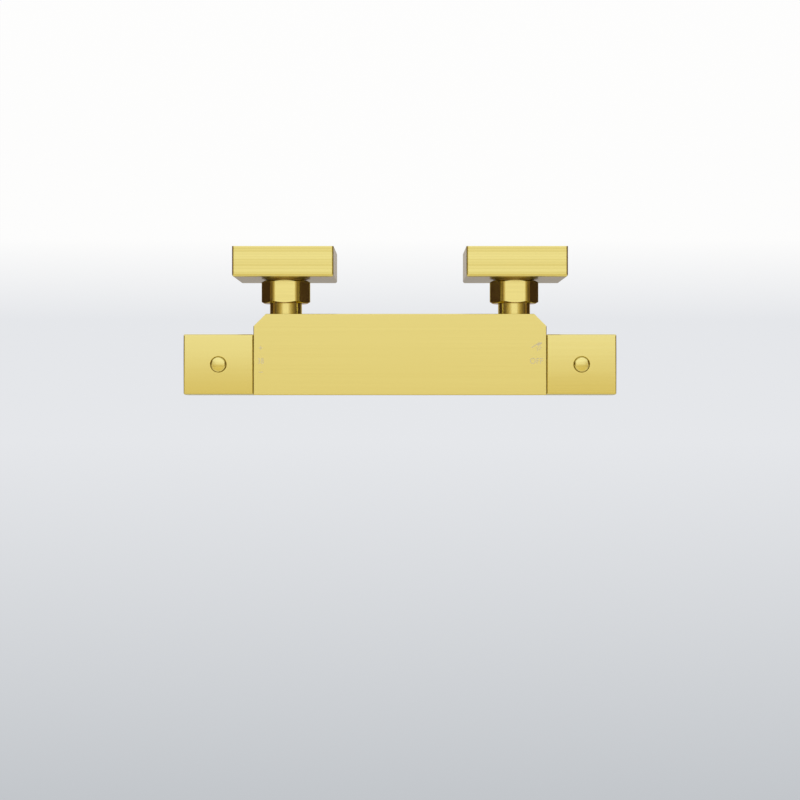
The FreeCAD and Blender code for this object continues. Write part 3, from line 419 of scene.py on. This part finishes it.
def threaded_nipple(material):
    """The outlet with its real thread, turned about the outlet's axis."""
    thread = mounts["outlet_thread"]
    crest = thread["dims"]["r_mm"] * MM
    length = thread["dims"]["length_mm"] * MM
    axis = Vector(thread["pos_m"])
    start = axis.z + length / 2
    end = axis.z - length / 2
    flange = (nipple_high.x - nipple_low.x) / 2
    top = body_low.z

    def thread_radius(z, angle):
        """Crest to root and back along each turn, run out smoothly at both ends."""
        phase = ((z - end) / THREAD_PITCH - angle / math.tau) % 1
        depth = min(1, max(0, THREAD_ROOT - abs(phase - 0.5) * THREAD_FLANK))
        run_in = min(1, max(0, (start - z - THREAD_RELIEF) / THREAD_PITCH))
        run_out = min(1, max(0, (z - end) / THREAD_RUN_OUT))
        return crest - THREAD_DEPTH * max(1 - run_in, 1 - run_out, depth)

    def even(radius):
        return lambda z, angle: radius

    rings = [
        (nipple_high.z, even(NIPPLE_SPIGOT)),
        (top, even(NIPPLE_SPIGOT)),
        (top, even(flange)),
        (start + NIPPLE_EDGE, even(flange)),
        (start, even(flange - NIPPLE_EDGE)),
    ]
    rows = round(length / THREAD_PITCH * THREAD_ROWS_PER_TURN)
    rings += [(start - length * row / rows, thread_radius) for row in range(rows + 1)]
    rings += [
        (end, even(NIPPLE_BORE + NIPPLE_EDGE)),
        (end + NIPPLE_EDGE, even(NIPPLE_BORE)),
        (nipple_high.z, even(NIPPLE_BORE)),
    ]
    mesh = bpy.data.meshes.new("threaded_outlet")
    build = bmesh.new()
    loops = []
    for z, radius in rings:
        loop = []
        for step in range(THREAD_SEGMENTS):
            angle = math.tau * step / THREAD_SEGMENTS
            reach = radius(z, angle)
            x = axis.x + math.cos(angle) * reach
            y = axis.y + math.sin(angle) * reach
            loop.append(build.verts.new((x, y, z)))
        loops.append(loop)
    for number, loop in enumerate(loops):
        below = loops[(number + 1) % len(loops)]
        for step in range(THREAD_SEGMENTS):
            after = (step + 1) % THREAD_SEGMENTS
            build.faces.new((loop[step], loop[after], below[after], below[step]))
    bmesh.ops.recalc_face_normals(build, faces=build.faces)
    build.to_mesh(mesh)
    build.free()
    piece = add_piece("threaded_outlet", mesh, material, "valve")
    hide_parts("outlet_nipple")


def sprung_coils(material):
    """Copies of the springs in the given material, standing where the springs stand, in place of the springs of
    the model.
    """
    for joint in frame["joints"]:
        for spring in joint.get("deforming_nodes", []):
            name = spring["node"]
            letter = spring["mode"][-1]
            axis = "xyz".index(letter)
            seat = spring[f"fixed_end_{letter}_m"]
            ends = sorted((corner[axis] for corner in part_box(name)), key=lambda place: abs(place - seat))
            start, end = Vector(), Vector()
            start[axis], end[axis] = ends
            mesh = frame["nodes"][name].data.copy()
            mesh.materials.clear()
            mesh.materials.append(material)
            coil = bpy.data.objects.new(f"{name}_coil", mesh)
            bpy.context.scene.collection.objects.link(coil)
            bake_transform(coil)
            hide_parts(name)


def stage_floor():
    """Wide pale floor below the part, shaded from white behind the wall plane to grey in front."""
    bpy.ops.mesh.primitive_circle_add(
        vertices=FLOOR_SEGMENTS, radius=FLOOR_RADIUS, fill_type="NGON", location=(0, 0, FLOOR_Z)
    )
    floor = bpy.context.object
    floor.name = "floor"
    material, tree, shader = new_material("floor")
    tree.nodes.remove(shader)
    place = add_node(tree, "ShaderNodeTexCoord")
    split = add_node(tree, "ShaderNodeSeparateXYZ")
    tree.links.new(place.outputs["Object"], split.inputs["Vector"])
    span = add_node(tree, "ShaderNodeMapRange")
    span.inputs["From Min"].default_value = FLOOR_FRONT
    span.inputs["From Max"].default_value = FLOOR_BACK
    tree.links.new(split.outputs["Y"], span.inputs["Value"])
    shade = add_node(tree, "ShaderNodeValToRGB")
    set_stops(shade, FLOOR_SHADES)
    tree.links.new(span.outputs["Result"], shade.inputs["Fac"])

    soft = add_node(tree, "ShaderNodeBsdfDiffuse")
    tree.links.new(shade.outputs["Color"], soft.inputs["Color"])
    glow = add_node(tree, "ShaderNodeEmission")
    tree.links.new(shade.outputs["Color"], glow.inputs["Color"])
    rays = add_node(tree, "ShaderNodeLightPath")
    seen = add_node(tree, "ShaderNodeMath", operation="MAXIMUM")
    tree.links.new(rays.outputs["Is Camera Ray"], seen.inputs[0])
    tree.links.new(rays.outputs["Is Glossy Ray"], seen.inputs[1])
    seen_all = add_node(tree, "ShaderNodeMath", operation="MAXIMUM")
    tree.links.new(seen.outputs["Value"], seen_all.inputs[0])
    tree.links.new(rays.outputs["Is Transmission Ray"], seen_all.inputs[1])
    share = add_node(tree, "ShaderNodeMath", operation="MULTIPLY")
    share.inputs[1].default_value = FLOOR_GLOW
    tree.links.new(seen_all.outputs["Value"], share.inputs[0])
    both = add_node(tree, "ShaderNodeMixShader")
    tree.links.new(share.outputs["Value"], both.inputs["Fac"])
    tree.links.new(soft.outputs["BSDF"], both.inputs[1])
    tree.links.new(glow.outputs["Emission"], both.inputs[2])
    tree.links.new(both.outputs["Shader"], tree.nodes["Material Output"].inputs["Surface"])
    floor.data.materials.append(material)


def flag_material(window_cover, upper_cover):
    """Brown card that turns golden and thins out upwards, with a warmer band level with the part."""
    material, tree, shader = new_material("flag")
    shader.inputs["Roughness"].default_value = 1
    shader.inputs["Specular IOR Level"].default_value = 0
    place = add_node(tree, "ShaderNodeTexCoord")
    split = add_node(tree, "ShaderNodeSeparateXYZ")
    tree.links.new(place.outputs["Object"], split.inputs["Vector"])
    span = add_node(tree, "ShaderNodeMapRange")
    span.inputs["From Min"].default_value = FLOOR_Z
    span.inputs["From Max"].default_value = FLAG_TOP
    tree.links.new(split.outputs["Z"], span.inputs["Value"])
    low, high = FLAG_WINDOW
    tones = [
        (low - FLAG_WINDOW_EDGE, FLAG_BROWN),
        (low, FLAG_WARM),
        (high, FLAG_WARM),
        (high + FLAG_WINDOW_EDGE, FLAG_BROWN),
        (FLAG_GOLD_Z, FLAG_GOLD),
    ]
    levels = [
        (low - FLAG_WINDOW_EDGE, 1),
        (low, window_cover),
        (high, window_cover),
        (high + FLAG_WINDOW_EDGE, upper_cover),
        *((z, level * upper_cover) for z, level in FLAG_FADE),
    ]
    covers = [(z, (level, level, level, 1)) for z, level in levels]
    for socket, stops in (("Base Color", tones), ("Alpha", covers)):
        ramp = add_node(tree, "ShaderNodeValToRGB")
        set_stops(ramp, [((z - FLOOR_Z) / (FLAG_TOP - FLOOR_Z), colour) for z, colour in stops])
        tree.links.new(span.outputs["Result"], ramp.inputs["Fac"])
        tree.links.new(ramp.outputs["Color"], shader.inputs[socket])
    return material


def stage_flags():
    """Tall cards to the left and right, out of the picture, that the sides of the metal reflect."""
    cards = (
        (FLAG_NEAR, FLAG_SPLIT, flag_material(**FRONT_FLAG_COVER)),
        (FLAG_SPLIT, FLAG_FAR, flag_material(**BACK_FLAG_COVER)),
    )
    for x in (-FLAG_X, FLAG_X):
        for near, far, material in cards:
            corners = [(x, near, FLOOR_Z), (x, far, FLOOR_Z), (x, far, FLAG_TOP), (x, near, FLAG_TOP)]
            mesh = bpy.data.meshes.new("flag")
            mesh.from_pydata(corners, [], [(0, 1, 2, 3)])
            mesh.materials.append(material)
            flag = bpy.data.objects.new("flag", mesh)
            bpy.context.scene.collection.objects.link(flag)
            flag.visible_camera = False


def studio_light():
    """Soft light from the whole sky, white overhead, with a warm patch high up in front."""
    world = bpy.data.worlds.new("studio")
    bpy.context.scene.world = world
    world.use_nodes = True
    tree = world.node_tree
    place = add_node(tree, "ShaderNodeTexCoord")
    split = add_node(tree, "ShaderNodeSeparateXYZ")
    tree.links.new(place.outputs["Generated"], split.inputs["Vector"])
    shade = add_node(tree, "ShaderNodeValToRGB")
    set_stops(shade, ((0, SKY_HORIZON), (SKY_TOP_AT, SKY_TOP)))
    tree.links.new(split.outputs["Z"], shade.inputs["Fac"])

    front = add_node(tree, "ShaderNodeMapRange", interpolation_type="SMOOTHSTEP")
    front.inputs["From Min"].default_value = WARM_FROM_Y
    front.inputs["From Max"].default_value = WARM_TO_Y
    tree.links.new(split.outputs["Y"], front.inputs["Value"])
    height = add_node(tree, "ShaderNodeMapRange", interpolation_type="SMOOTHSTEP")
    height.inputs["From Min"].default_value = WARM_FROM_Z
    height.inputs["From Max"].default_value = WARM_TO_Z
    tree.links.new(split.outputs["Z"], height.inputs["Value"])
    patch = add_node(tree, "ShaderNodeMath", operation="MULTIPLY")
    tree.links.new(front.outputs["Result"], patch.inputs[0])
    tree.links.new(height.outputs["Result"], patch.inputs[1])
    tint = add_node(tree, "ShaderNodeMix", data_type="RGBA", blend_type="MULTIPLY")
    tint.inputs[7].default_value = WARM_PATCH
    tree.links.new(patch.outputs["Value"], tint.inputs[0])
    tree.links.new(shade.outputs["Color"], tint.inputs[6])
    tree.links.new(tint.outputs[2], tree.nodes["Background"].inputs["Color"])


def place_camera():
    data = bpy.data.cameras.new("camera")
    data.lens = LENS
    data.sensor_width = SENSOR
    camera = bpy.data.objects.new("camera", data)
    camera.location = (0, CAMERA_Y, CAMERA_HEIGHT)
    bpy.context.scene.collection.objects.link(camera)
    bpy.context.scene.camera = camera


finishes = dress_nodes()
print_marks()
threaded_nipple(finishes["brushed_gold"])
sprung_coils(finishes["spring_steel"])
stage_floor()
stage_flags()
studio_light()
place_camera()
bpy.context.scene.view_settings.view_transform = "Standard"
